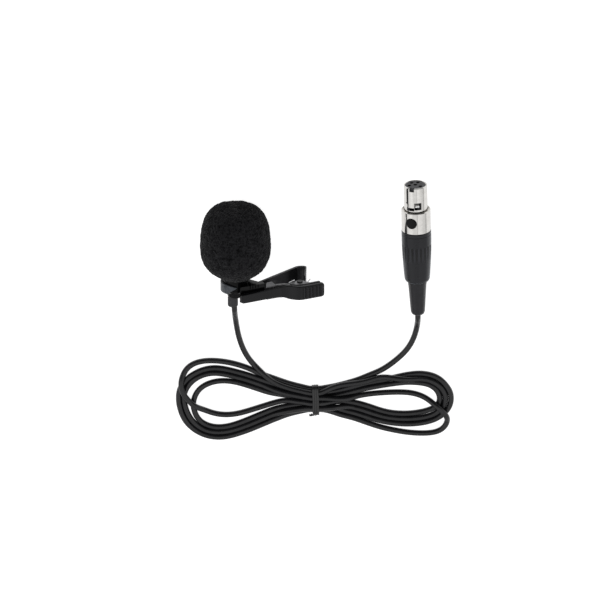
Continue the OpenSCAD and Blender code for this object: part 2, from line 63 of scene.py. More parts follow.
# ------------------------------------------------------------------- cable
# Stretches of the cable between its passes through the tie band, in
# millimetres, from the microphone to the plug.
RUNS = {
    "mic": [(-10.1, -19.5, 13.0), (-10.1, -20.3, 13.0), (-10.0, -22.6, 12.8),
            (-9.8, -26.0, 11.9), (-9.2, -31.2, 9.8), (-8.5, -35.8, 7.8),
            (-7.1, -41.1, 5.8), (-5.0, -45.9, 4.6), (-2.1, -49.6, 4.0),
            (0.7, -52.3, 3.8), (4.0, -54.8, 3.4), (9.7, -57.3, 3.2),
            (14.7, -58.5, 2.9)],
    "r1": [(25.0, -57.4, 3.0), (31.2, -55.9, 3.0), (41.0, -53.9, 3.2),
           (48.8, -53.6, 3.2), (56.4, -53.9, 3.2), (61.6, -54.8, 3.2),
           (65.0, -57.2, 3.1), (66.8, -60.0, 3.0), (67.2, -63.0, 2.7),
           (66.4, -66.2, 1.3), (63.8, -68.5, 1.1), (58.6, -70.0, 1.1),
           (54.7, -70.4, 1.1), (50.6, -70.4, 1.1), (44.8, -69.6, 1.1),
           (38.9, -67.7, 1.2), (34.1, -66.1, 1.7), (28.6, -65.6, 2.6),
           (24.6, -65.6, 3.0)],
    "l2b": [(13.9, -65.9, 3.0), (8.4, -66.9, 2.6), (1.4, -70.1, 1.6),
            (-5.7, -73.4, 1.1), (-12.7, -75.6, 1.1), (-16.7, -75.9, 1.1),
            (-22.0, -74.8, 1.1), (-26.4, -71.2, 1.1), (-28.3, -67.0, 1.1),
            (-29.0, -62.9, 1.1), (-28.6, -58.9, 1.1), (-26.6, -55.9, 1.1),
            (-22.8, -53.0, 1.1), (-18.0, -51.7, 1.1), (-12.1, -52.6, 1.1),
            (-5.7, -54.6, 1.2), (1.4, -57.2, 1.8), (10.3, -59.9, 2.8),
            (14.7, -60.6, 3.0)],
    "r4": [(21.7, -61.4, 3.0), (28.6, -61.5, 3.0), (33.3, -61.3, 2.6),
           (41.0, -60.3, 1.1), (48.7, -59.8, 1.1), (54.5, -60.0, 1.4),
           (58.0, -60.9, 2.4), (62.0, -63.4, 3.2), (65.3, -65.6, 3.3),
           (67.6, -68.5, 2.6), (68.0, -72.5, 1.3), (65.3, -75.5, 1.1),
           (59.1, -76.3, 1.1), (54.3, -76.1, 1.1), (50.6, -75.5, 1.1),
           (44.8, -74.2, 1.1), (41.0, -73.0, 1.1), (34.1, -70.3, 1.1),
           (29.4, -68.6, 1.1), (25.0, -67.3, 1.2)],
    "l2a": [(14.3, -67.3, 1.3), (8.4, -68.4, 1.1), (1.4, -71.6, 1.1),
            (-5.7, -74.8, 1.1), (-12.7, -77.2, 1.1), (-16.7, -77.5, 1.1),
            (-22.0, -76.3, 1.1), (-27.4, -71.9, 1.1), (-29.5, -67.0, 1.1),
            (-30.4, -62.9, 1.1), (-30.1, -58.1, 1.1), (-27.8, -54.9, 1.1),
            (-23.2, -51.7, 1.1), (-18.0, -50.3, 1.1), (-11.7, -51.3, 1.1),
            (-5.7, -53.3, 1.1), (1.4, -56.1, 1.1), (10.3, -59.3, 1.2),
            (14.7, -59.9, 1.3)],
    "r2": [(25.0, -59.7, 1.2), (30.5, -58.3, 1.1), (37.4, -56.1, 1.1),
           (43.3, -54.6, 1.1), (48.8, -53.7, 1.1), (54.7, -53.1, 1.1),
           (58.1, -52.5, 1.1), (61.3, -52.9, 1.1), (64.3, -54.1, 1.1),
           (67.8, -57.6, 1.1), (69.4, -61.2, 1.1), (69.3, -64.6, 1.1),
           (67.5, -68.1, 1.1), (63.6, -70.8, 1.1), (58.6, -72.2, 1.1),
           (54.7, -72.6, 1.1), (50.6, -72.5, 1.1), (44.8, -71.6, 1.1),
           (38.9, -69.8, 1.1), (34.1, -67.9, 1.1), (28.6, -66.0, 1.1),
           (24.6, -64.7, 1.2)],
    "l3": [(14.7, -64.6, 1.3), (4.8, -67.4, 1.1), (-2.2, -70.0, 1.1),
           (-9.2, -73.0, 1.1), (-16.9, -74.4, 1.1), (-20.8, -73.2, 1.1),
           (-23.6, -70.6, 1.1), (-25.0, -66.6, 1.1), (-25.0, -63.4, 1.1),
           (-23.5, -58.9, 1.1), (-19.7, -56.3, 1.1), (-15.4, -55.2, 1.1),
           (-7.5, -56.1, 1.1), (1.4, -58.7, 1.1), (11.9, -61.4, 1.3)],
    "r3": [(25.0, -61.9, 1.2), (30.5, -60.5, 1.1), (37.1, -58.5, 1.1),
           (43.3, -57.2, 1.1), (48.7, -56.3, 1.1), (56.1, -55.6, 1.1),
           (61.3, -56.0, 1.1), (63.7, -57.4, 1.1), (65.7, -59.7, 1.1),
           (66.2, -62.5, 1.1), (64.6, -65.2, 1.1), (59.8, -67.4, 1.1),
           (54.7, -68.3, 1.1), (50.6, -68.4, 1.1), (44.8, -67.6, 1.1),
           (38.9, -65.3, 2.0), (34.1, -64.1, 2.9), (28.6, -63.7, 3.0),
           (24.6, -63.6, 3.0)],
    "l1": [(14.3, -63.3, 3.0), (8.4, -63.0, 3.2), (2.9, -64.6, 3.2),
           (-4.0, -66.9, 3.0), (-9.2, -68.5, 3.0), (-14.5, -68.9, 3.0),
           (-19.8, -67.6, 3.2), (-25.0, -64.4, 3.5), (-28.5, -60.7, 4.2),
           (-29.7, -57.4, 4.4), (-29.2, -53.5, 4.0), (-27.2, -49.6, 3.0),
           (-23.2, -47.6, 1.8), (-18.0, -47.1, 1.1), (-11.0, -48.1, 1.1),
           (-3.3, -50.8, 1.1), (4.8, -54.7, 1.1), (11.4, -57.3, 1.1),
           (15.0, -58.1, 1.2)],
    "plug": [(25.0, -57.8, 1.2), (29.7, -56.9, 1.1), (34.1, -55.5, 1.1),
             (37.4, -54.3, 1.1), (39.9, -53.1, 1.1), (41.8, -52.1, 1.1),
             (44.8, -50.3, 1.1), (48.2, -47.7, 1.1), (53.3, -42.6, 1.6),
             (55.6, -38.2, 2.6), (56.8, -33.9, 3.8), (57.2, -29.0, 5.2),
             (57.2, -27.0, 5.5), (57.2, -25.9, 5.5)],
}
TIE_X, TIE_Y = 19.56, -62.4
UPPER = (3.15, 1.05, -1.05, -3.15)
LOWER = (4.2, 2.1, 0.0, -2.1, -4.2)
CHAIN = ["mic", "T1+", "r1", "T4-", "l2b", "T2+", "r4", "B5-", "l2a", "B2+",
         "r2", "B4-", "l3", "B3+", "r3", "T3-", "l1", "B1+", "plug"]
CABLE_D = 2.1
LIE = CABLE_D / 2 + 0.005


def tie_pass(name):
    k = int(name[1]) - 1
    y, z = (UPPER[k], 3.22) if name[0] == "T" else (LOWER[k], 1.4)
    pts = [(TIE_X + d, TIE_Y + y, z) for d in (-1.6, 0.0, 1.6)]
    return pts if name[2] == "+" else pts[::-1]


def catmull(W, per=24):
    out, marks = [], []
    Wp = np.vstack([2 * W[0] - W[1], W, 2 * W[-1] - W[-2]])
    for i in range(1, len(Wp) - 2):
        p0, p1, p2, p3 = Wp[i - 1:i + 3]
        t0 = 0.0
        t1 = t0 + np.linalg.norm(p1 - p0) ** 0.5
        t2 = t1 + np.linalg.norm(p2 - p1) ** 0.5
        t3 = t2 + np.linalg.norm(p3 - p2) ** 0.5
        marks.append(len(out))
        for k in range(per):
            t = t1 + (t2 - t1) * k / per
            a1 = (t1 - t) / (t1 - t0) * p0 + (t - t0) / (t1 - t0) * p1
            a2 = (t2 - t) / (t2 - t1) * p1 + (t - t1) / (t2 - t1) * p2
            a3 = (t3 - t) / (t3 - t2) * p2 + (t - t2) / (t3 - t2) * p3
            b1 = (t2 - t) / (t2 - t0) * a1 + (t - t0) / (t2 - t0) * a2
            b2 = (t3 - t) / (t3 - t1) * a2 + (t - t1) / (t3 - t1) * a3
            out.append((t2 - t) / (t2 - t1) * b1 + (t - t1) / (t2 - t1) * b2)
    marks.append(len(out))
    out.append(Wp[-2])
    return np.array(out), marks


def evenly(P, step):
    d = np.r_[0, np.cumsum(np.linalg.norm(np.diff(P, axis=0), axis=1))]
    s = np.linspace(0, d[-1], int(round(d[-1] / step)) + 1)
    return np.stack([np.interp(s, d, P[:, k]) for k in range(3)], 1), d, s


def lay_cable(step=1.5, rounds=500, gap=2.1):
    """The route through the points above, with its strands pushed apart to
    lie beside and over each other and down on the table."""
    W, held = [], []
    for c in CHAIN:
        pts = RUNS[c] if c in RUNS else tie_pass(c)
        W += pts
        held += [c not in RUNS] * len(pts)
    held[0] = held[1] = held[-1] = held[-2] = True
    P, marks = catmull(np.array(W))
    Q, d, s = evenly(P, step)
    h, n = s[1] - s[0], len(Q)
    fixed = np.zeros(n, bool)
    for m, f in zip(marks, held):
        if f:
            fixed[int(round(d[m] / h))] = True
    fixed[:2] = fixed[-2:] = True
    band = (np.abs(Q[:, 0] - TIE_X) < 1.7) & (Q[:, 1] < -50)
    hold = band | fixed
    plan, X = Q.copy(), Q.copy()
    I, J = np.triu_indices(n, k=5)
    for it in range(rounds):
        X[:, :2] += (0.05 if it < 0.6 * rounds else 0.02) * (plan - X)[:, :2]
        X[:, 2] += 0.01 * (plan - X)[:, 2]
        X[~hold, 2] -= 0.03
        M = X.copy()
        M[1:-1] = 0.5 * X[1:-1] + 0.25 * (X[:-2] + X[2:])
        M2 = M.copy()
        M2[1:-1] = M[1:-1] - 0.48 * (0.5 * (M[:-2] + M[2:]) - M[1:-1])
        X[~hold] = M2[~hold]
        for sub in range(3):
            if sub == 0:
                dd = X[I] - X[J]
                near = np.where((dd ** 2).sum(1) < (gap + 1.5) ** 2)[0]
                i, j = I[near], J[near]
            v = X[i] - X[j]
            r = np.sqrt((v ** 2).sum(1)) + 1e-9
            m = r < gap
            if m.any():
                ii, jj = i[m], j[m]
                zt = plan[ii, 2] - plan[jj, 2]
                nv = v[m] / r[m][:, None]
                nv[:, 2] += np.where(np.abs(zt) > 0.5, 0.6 * np.sign(zt), 0)
                nv /= np.linalg.norm(nv, axis=1)[:, None]
                wi = np.where(hold[ii], 0.0, 1.0)
                wj = np.where(hold[jj], 0.0, 1.0)
                ws = np.maximum(wi + wj, 1.0)
                push = nv * ((gap - r[m]) * 0.5)[:, None]
                acc, cnt = np.zeros_like(X), np.zeros(n)
                np.add.at(acc, ii, push * (wi / ws)[:, None])
                np.add.at(acc, jj, -push * (wj / ws)[:, None])
                np.add.at(cnt, ii, 1)
                np.add.at(cnt, jj, 1)
                X += acc / np.sqrt(np.maximum(cnt, 1))[:, None] * 1.6
            low = ~fixed & (X[:, 2] < LIE)
            X[low, 2] = LIE
        X[fixed] = plan[fixed]
        X[band] = 0.5 * X[band] + 0.5 * plan[band]
    return X


def smooth_route(X, step):
    P, _ = catmull(X, 4)
    Q, d, _ = evenly(P, step)
    return Q, d[-1]


def piece(name, mesh_or_curve, body):
    obj = bpy.data.objects.new(name, mesh_or_curve)
    scene.collection.objects.link(obj)
    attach(obj, body)
    return obj


route, cable_len = smooth_route(lay_cable(), 0.75)
curve = bpy.data.curves.new("cable", "CURVE")
curve.dimensions = "3D"
curve.bevel_depth = 1.0
curve.bevel_resolution = 8
curve.use_fill_caps = True
spline = curve.splines.new("POLY")
spline.points.add(len(route) - 1)
for p, q in zip(spline.points, route):
    p.co = (q[0] * MM, q[1] * MM, q[2] * MM, 1)
    p.radius = CABLE_D / 2 * MM
spline.use_smooth = True
cable = piece("cable", curve, "microphone")
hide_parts("cable_mic_lead", "cable_hank", "cable_connector_lead")


# --------------------------------------------------------------- materials
class Mat:
    """A Principled material whose patterns are in millimetres of the row
    frame."""

    def __init__(self, name):
        self.m = bpy.data.materials.new(name)
        self.m.use_nodes = True
        self.nt = self.m.node_tree
        self.bsdf = self.nt.nodes["Principled BSDF"]
        tc = self.nt.nodes.new("ShaderNodeTexCoord")
        self.mm = self.nt.nodes.new("ShaderNodeMapping")
        self.mm.inputs["Scale"].default_value = (1000, 1000, 1000)
        self.link(tc.outputs["Object"], self.mm.inputs["Vector"])
        self.height = None

    def link(self, a, b):
        self.nt.links.new(a, b)

    def node(self, kind, **props):
        n = self.nt.nodes.new(kind)
        for k, v in props.items():
            setattr(n, k, v)
        return n

    def coords(self, scale=(1, 1, 1), rot=(0, 0, 0)):
        """Millimetre coordinates turned and stretched."""
        if scale == (1, 1, 1) and rot == (0, 0, 0):
            return self.mm.outputs["Vector"]
        n = self.node("ShaderNodeMapping")
        n.inputs["Scale"].default_value = scale
        n.inputs["Rotation"].default_value = rot
        self.link(self.mm.outputs["Vector"], n.inputs["Vector"])
        return n.outputs["Vector"]

    def noise(self, scale, detail=3, rough=0.55, vec=None):
        n = self.node("ShaderNodeTexNoise")
        n.inputs["Scale"].default_value = scale
        n.inputs["Detail"].default_value = detail
        n.inputs["Roughness"].default_value = rough
        self.link(vec or self.coords(), n.inputs["Vector"])
        return n.outputs["Fac"]

    def cells(self, scale, feature="F1", vec=None):
        n = self.node("ShaderNodeTexVoronoi", feature=feature)
        n.inputs["Scale"].default_value = scale
        self.link(vec or self.coords(), n.inputs["Vector"])
        return n.outputs["Distance"]

    def span(self, fac, a, b, lo=0.3, hi=0.7):
        n = self.node("ShaderNodeMapRange")
        n.inputs["From Min"].default_value = lo
        n.inputs["From Max"].default_value = hi
        n.inputs["To Min"].default_value = a
        n.inputs["To Max"].default_value = b
        self.link(fac, n.inputs["Value"])
        return n.outputs["Result"]

    def mul(self, a, b, op="MULTIPLY"):
        n = self.node("ShaderNodeMath", operation=op)
        for sock, v in zip(n.inputs, (a, b)):
            if isinstance(v, (int, float)):
                sock.default_value = v
            else:
                self.link(v, sock)
        return n.outputs[0]

    def colour(self, fac, c0, c1, lo=0.3, hi=0.7):
        n = self.node("ShaderNodeMix", data_type="RGBA")
        f = self.span(fac, 0, 1, lo, hi)
        self.link(f, n.inputs["Factor"])
        n.inputs["A"].default_value = (*c0, 1)
        n.inputs["B"].default_value = (*c1, 1)
        self.link(n.outputs["Result"], self.bsdf.inputs["Base Color"])
        return n.outputs["Result"]

    def rough(self, fac, a, b):
        self.link(self.span(fac, a, b), self.bsdf.inputs["Roughness"])

    def bump(self, fac, depth_mm, strength=1.0):
        n = self.node("ShaderNodeBump")
        n.inputs["Strength"].default_value = strength
        n.inputs["Distance"].default_value = depth_mm * MM
        self.link(fac, n.inputs["Height"])
        if self.height:
            self.link(self.height, n.inputs["Normal"])
        self.height = n.outputs["Normal"]
        self.link(self.height, self.bsdf.inputs["Normal"])

    def put(self, **v):
        names = {"spec": "Specular IOR Level", "metal": "Metallic",
                 "coat": "Coat Weight", "coat_rough": "Coat Roughness",
                 "sheen": "Sheen Weight", "sheen_rough": "Sheen Roughness",
                 "ior": "IOR", "aniso": "Anisotropic"}
        for k, x in v.items():
            self.bsdf.inputs[names[k]].default_value = x
        return self


def plastic(name, c0, c1, rough, spec, grain=6.0, depth=0.004, mottle=0.6,
            coat=0.0, sheen=0.0):
    m = Mat(name)
    m.put(spec=spec, coat=coat, sheen=sheen, sheen_rough=0.4)
    big = m.noise(mottle, 4)
    m.colour(big, c0, c1)
    m.rough(m.noise(mottle * 2.3, 4), *rough)
    m.bump(m.noise(grain, 3), depth)
    return m.m


def metal(name, c0, c1, rough, grain=9.0, depth=0.002, stretch=(1, 1, 1),
          rot=(0, 0, 0)):
    m = Mat(name)
    m.put(metal=1.0)
    m.colour(m.noise(0.7, 4), c0, c1)
    m.rough(m.noise(1.9, 4), *rough)
    m.bump(m.noise(grain, 2, vec=m.coords(stretch, rot)), depth)
    return m.m


def foam_cells(name):
    """Open cells in two sizes, with painted shade darkening the pits between
    the lighter struts.
    """
    m = Mat(name)
    m.put(spec=0.05, sheen=0.1, sheen_rough=0.4)
    pits = m.cells(1.15)
    fine = m.cells(2.6)
    mix = m.mul(m.mul(pits, 0.65), m.mul(fine, 0.35), "ADD")
    mix = m.mul(mix, m.span(m.noise(0.55, 4), 0.55, 1.45), "MULTIPLY")
    # painted shade: pits coloured darker than the struts between them
    m.colour(mix, (0.001, 0.001, 0.0012), (0.0185, 0.0185, 0.02), 0.14, 0.62)
    m.rough(m.noise(1.4, 4), 0.9, 1.0)
    m.bump(mix, 0.35, 1.0)
    m.bump(m.noise(2.4, 3), 0.12)
    return m.m


def painted_shade_split(m, axis, at, width, low, high):
    """Colour that changes over from low to high at a place on one axis, in
    millimetres of the row frame, used to paint shade on one side of that place."""
    sep = m.node("ShaderNodeSeparateXYZ")
    m.link(m.coords(), sep.inputs[0])
    n = m.noise(1.6, 3)
    place = m.mul(sep.outputs[axis], m.mul(n, 0.1), "ADD")
    m.colour(place, low, high, at - width, at + width)
    return m.m


def mouth_metal(name):
    m = Mat(name)
    m.put(metal=1.0)
    m.rough(m.noise(1.9, 4), 0.3, 0.42)
    m.bump(m.noise(9.0, 2), 0.002)
    return m


def along_clip(m):
    """Millimetres along the clip from the barrel's axis."""
    sep = m.node("ShaderNodeSeparateXYZ")
    m.link(m.coords(), sep.inputs[0])
    x = m.mul(m.mul(sep.outputs[0], 9.7, "ADD"), math.cos(math.radians(17)))
    z = m.mul(m.mul(sep.outputs[2], -13.0, "ADD"),
              math.sin(math.radians(17)))
    return m.mul(x, z, "SUBTRACT")


def formed_black(name):
    """Gloss black plating with painted light: lighter on the plate behind the
    jaws and on a strip of the wall at the far end, with painted shade darkening
    the plate towards that wall."""
    m = Mat(name)
    x = m.mul(along_clip(m), m.noise(1.2, 3), "ADD")
    plate = m.mul(m.span(x, 0.0, 1.0, 10.0, 13.5),
                  m.span(x, 1.0, 0.3, 20.0, 22.3))
    plate = m.mul(plate, m.span(x, 0.0, 0.5, 25.2, 25.9), "ADD")
    # painted light and shade by place along the clip: black at the jaws,
    # lighter on the plate, darker near the wall, a lighter strip on the wall
    m.colour(m.mul(plate, m.span(m.noise(0.6, 4), 0.75, 1.0)),
             (0.0014, 0.0014, 0.0017), (0.043, 0.043, 0.046), 0.0, 1.0)
    m.put(spec=0.17)
    m.rough(m.noise(1.4, 4), 0.1, 0.2)
    m.bump(m.noise(3.0, 3), 0.002)
    return m.m


def fluted_black(name):
    """Satin boot moulding, with painted light on the lands between its flutes
    and painted shade in the flutes.
    """
    m = Mat(name)
    m.put(spec=0.3, sheen=0.3, sheen_rough=0.35)
    m.bsdf.inputs["Sheen Tint"].default_value = (0.8, 0.88, 1.0, 1)
    sep = m.node("ShaderNodeSeparateXYZ")
    m.link(m.coords(), sep.inputs[0])
    y = sep.outputs[1]
    dx = m.mul(m.mul(sep.outputs[0], -56.693, "ADD"), m.mul(y, 0.01934),
               "ADD")
    dz = m.mul(sep.outputs[2], -5.5, "ADD")
    wave = m.mul(m.mul(m.mul(dx, dz, "ARCTAN2"), 21.0), 0.0, "COSINE")
    band = m.mul(m.span(y, 0, 1, -4.2, -2.6), m.span(y, 1, 0, 1.4, 2.3))
    land = m.mul(m.mul(wave, -1.0), band)
    # painted light on the flute lands and painted shade in the flutes
    m.colour(m.mul(land, m.mul(m.noise(0.34, 4), 0.8), "ADD"),
             (0.0008, 0.0008, 0.0012), (0.021, 0.022, 0.027), -0.7, 1.5)
    m.rough(m.noise(0.78, 4), 0.26, 0.36)
    m.bump(m.noise(8.0, 3), 0.003)
    return m.m


def socket_grey(name):
    """Moulded insulator, with painted shade inside and around the mouths of its
    five sockets.
    """
    m = Mat(name)
    m.put(spec=0.3)
    sep = m.node("ShaderNodeSeparateXYZ")
    m.link(m.coords(), sep.inputs[0])
    near = None
    for x, z in ((53.956, 5.98), (57.995, 6.95), (57.106, 3.38),
                 (54.826, 3.66), (56.206, 5.5)):
        dx = m.mul(sep.outputs[0], -x, "ADD")
        dz = m.mul(sep.outputs[2], -z, "ADD")
        d = m.mul(m.mul(m.mul(dx, dx), m.mul(dz, dz), "ADD"), 0.5, "POWER")
        near = d if near is None else m.mul(near, d, "MINIMUM")
    edge = m.mul(near, m.mul(m.noise(1.1, 4), 0.12), "ADD")
    # painted shade: black within about 0.8 mm of each socket centre
    m.colour(edge, (0.003, 0.003, 0.003), (0.068, 0.068, 0.072), 0.76, 0.86)
    m.rough(m.noise(0.9, 4), 0.5, 0.65)
    m.bump(m.noise(6.0, 3), 0.004)
    return m.m


def ribbed_black(name):
    """Satin moulding, with painted highlights on the crests of the ribs and
    painted shade between them.
    """
    m = Mat(name)
    m.put(spec=0.24)
    x = along_clip(m)
    wave = m.mul(m.mul(m.mul(x, -23.3, "ADD"), 2 * math.pi / 1.4), 0.0,
                 "ADD")
    wave = m.mul(wave, 0.0, "COSINE")
    grip = m.mul(m.span(x, 0, 1, 22.4, 22.9), m.span(x, 1, 0, 30.6, 31.0))
    crest = m.mul(m.mul(wave, grip), m.mul(m.noise(0.8, 4), 1.6), "MULTIPLY")
    crest = m.mul(crest, m.mul(m.noise(0.7, 4), 0.6), "ADD")
    # painted highlight on the rib crests and painted shade in the grooves
    # between them
    m.colour(crest, (0.0012, 0.0012, 0.0016), (0.013, 0.013, 0.0155),
             -0.3, 1.25)
    m.rough(m.noise(1.4, 4), 0.2, 0.3)
    m.bump(m.noise(9.0, 3), 0.005)
    return m.m


PLUG_YAW = math.radians(1.108)
M = {
    "foam": foam_cells("foam"),
    "barrel_black": plastic("barrel_black", (0.0016, 0.0016, 0.0018),
                            (0.0034, 0.0034, 0.0037), (0.16, 0.24), 0.13,
                            depth=0.002),
    "grille_black": plastic("grille_black", (0.02, 0.02, 0.022),
                            (0.035, 0.035, 0.038), (0.32, 0.42), 0.5),
    "capsule_metal": metal("capsule_metal", (0.62, 0.62, 0.63),
                           (0.72, 0.72, 0.73), (0.25, 0.35)),
    "inner_rubber": plastic("inner_rubber", (0.015, 0.015, 0.015),
                            (0.03, 0.03, 0.03), (0.7, 0.8), 0.3),
    "circuit_board": plastic("circuit_board", (0.015, 0.1, 0.04),
                             (0.02, 0.14, 0.055), (0.25, 0.4), 0.5),
    "wire": plastic("wire", (0.3, 0.02, 0.015), (0.4, 0.035, 0.02),
                    (0.35, 0.45), 0.5),
    "relief_black": plastic("relief_black", (0.028, 0.028, 0.03),
                            (0.04, 0.04, 0.043), (0.5, 0.62), 0.3,
                            grain=7.0, depth=0.006),
    "ring_grey": plastic("ring_grey", (0.024, 0.028, 0.034),
                         (0.075, 0.084, 0.096), (0.3, 0.42), 0.36, grain=5.0,
                         depth=0.004, mottle=1.3),
    "arm_black": formed_black("arm_black"),
    "lever_black": ribbed_black("lever_black"),
    "liner_steel": metal("liner_steel", (0.115, 0.115, 0.12),
                         (0.22, 0.22, 0.225), (0.3, 0.45),
                         stretch=(0.3, 4, 0.3), depth=0.003),
    "pin_steel": metal("pin_steel", (0.006, 0.006, 0.0065),
                       (0.014, 0.014, 0.015), (0.2, 0.32),
                       stretch=(4, 0.3, 4)),
    "spring_steel": metal("spring_steel", (0.5, 0.5, 0.51),
                          (0.65, 0.65, 0.66), (0.16, 0.28)),
    "cable_black": plastic("cable_black", (0.0045, 0.0045, 0.0052),
                           (0.0105, 0.0105, 0.012), (0.2, 0.3), 0.44,
                           grain=3.0, depth=0.006, mottle=0.35),
    "tie_black": plastic("tie_black", (0.004, 0.004, 0.0042),
                         (0.009, 0.009, 0.0095), (0.16, 0.28), 0.6,
                         grain=5.0, depth=0.01),
    "nickel": metal("nickel", (0.66, 0.645, 0.62), (0.76, 0.745, 0.72),
                    (0.06, 0.11), grain=3.0, depth=0.0015,
                    stretch=(0.25, 7, 0.25), rot=(0, 0, -PLUG_YAW)),
    "insert_grey": socket_grey("insert_grey"),
    # painted shade: the contacts turn black past Y 22.6 mm, toward the socket
    # mouths
    "contact_gold": painted_shade_split(mouth_metal("contact_gold"), 1, 22.6, 0.3,
                          (0.26, 0.19, 0.085), (0.003, 0.003, 0.003)),
    # painted shade: the plate below Z 8.95 mm is near black, the hook above it
    # bright steel
    "latch_steel": painted_shade_split(mouth_metal("latch_steel"), 2, 8.95, 0.12,
                         (0.03, 0.03, 0.031), (0.86, 0.86, 0.85)),
    "button_black": plastic("button_black", (0.0022, 0.0022, 0.0024),
                            (0.005, 0.005, 0.0052), (0.07, 0.12), 0.14,
                            depth=0.002),
    "clamp_metal": metal("clamp_metal", (0.52, 0.52, 0.53),
                         (0.64, 0.64, 0.65), (0.3, 0.45)),
    "boot_black": fluted_black("boot_black"),
    "boot_relief_black": plastic("boot_relief_black", (0.009, 0.009, 0.011),
                                 (0.014, 0.014, 0.017), (0.28, 0.38),
                                 0.3, grain=8.0, depth=0.003, sheen=0.25),
}
slots = {s["node"]: s["material_slot"] for s in frame["record"]["subparts"]}
for name, obj in nodes.items():
    obj.data.materials.clear()
    obj.data.materials.append(M[slots[name]])
curve.materials.append(M["cable_black"])


# ------------------------------------------------------------ mesh helpers
def mesh_from(name, verts, faces, smooth=True):
    me = bpy.data.meshes.new(name)
    me.from_pydata([tuple(np.asarray(v) * MM) for v in verts], [],
                   [tuple(f) for f in faces])
    me.validate()
    bm = bmesh.new()
    bm.from_mesh(me)
    bmesh.ops.recalc_face_normals(bm, faces=bm.faces)
    bm.to_mesh(me)
    bm.free()
    if smooth:
        me.shade_smooth()
    return me


def along(P, step):
    """A polyline resampled at about even steps, in any number of
    dimensions."""
    P = np.asarray(P, float)
    d = np.r_[0, np.cumsum(np.linalg.norm(np.diff(P, axis=0), axis=1))]
    s = np.linspace(0, d[-1], int(round(d[-1] / step)) + 1)
    return np.stack([np.interp(s, d, P[:, k]) for k in range(P.shape[1])], 1)


def hash3(c, seed):
    """Even numbers from 0 to 1 for each whole-number cell."""
    x = (c[..., 0] * 73856093) ^ (c[..., 1] * 19349663) ^ (c[..., 2] * 83492791)
    x = (x + seed * 2654435761) & 0xFFFFFFFF
    x = ((x ^ (x >> 16)) * 0x45D9F3B) & 0xFFFFFFFF
    x = ((x ^ (x >> 16)) * 0x45D9F3B) & 0xFFFFFFFF
    x = x ^ (x >> 16)
    return x / 4294967295.0


def worley(P, size, seed=1):
    """Distance to the nearest and to the second nearest scattered point,
    as a share of the cell size."""
    Q = P / size
    base = np.floor(Q).astype(np.int64)
    f1 = np.full(len(P), 9.0)
    f2 = np.full(len(P), 9.0)
    for dx in (-1, 0, 1):
        for dy in (-1, 0, 1):
            for dz in (-1, 0, 1):
                c = base + np.array([dx, dy, dz])
                pt = c + np.stack([hash3(c, seed + k) for k in range(3)], 1)
                d = np.sqrt(((Q - pt) ** 2).sum(1))
                near = d < f1
                f2 = np.where(near, f1, np.minimum(f2, d))
                f1 = np.where(near, d, f1)
    return f1, f2


def value_noise(P, size, seed=1):
    Q = P / size
    b = np.floor(Q).astype(np.int64)
    f = Q - b
    f = f * f * (3 - 2 * f)
    out = np.zeros(len(P))
    for dx in (0, 1):
        for dy in (0, 1):
            for dz in (0, 1):
                w = (np.abs(1 - dx - f[:, 0]) * np.abs(1 - dy - f[:, 1])
                     * np.abs(1 - dz - f[:, 2]))
                out += w * hash3(b + np.array([dx, dy, dz]), seed)
    return out - 0.5


# -------------------------------------------------------------- windscreen
FOAM = [(0, 19.1), (2.6, 19.06), (4.6, 18.96), (6, 18.78), (7.2, 18.5),
        (8.3, 18.05), (9.2, 17.45), (9.95, 16.7), (10.6, 15.8), (11.2, 14.7),
        (11.7, 13.4), (12.15, 11.9), (12.5, 10.2), (12.75, 8.4),
        (12.93, 6.4), (13, 4.4), (12.97, 2.4), (12.82, 0.6), (12.45, -1),
        (11.9, -2.5), (11.2, -3.8), (10.3, -5), (9.3, -6), (8.3, -6.8),
        (7.3, -7.55), (6.4, -8.2), (5.7, -8.6), (5.2, -8.75), (4.95, -8.7)]
MIC = np.array([-9.7, 0.7, 13.0])


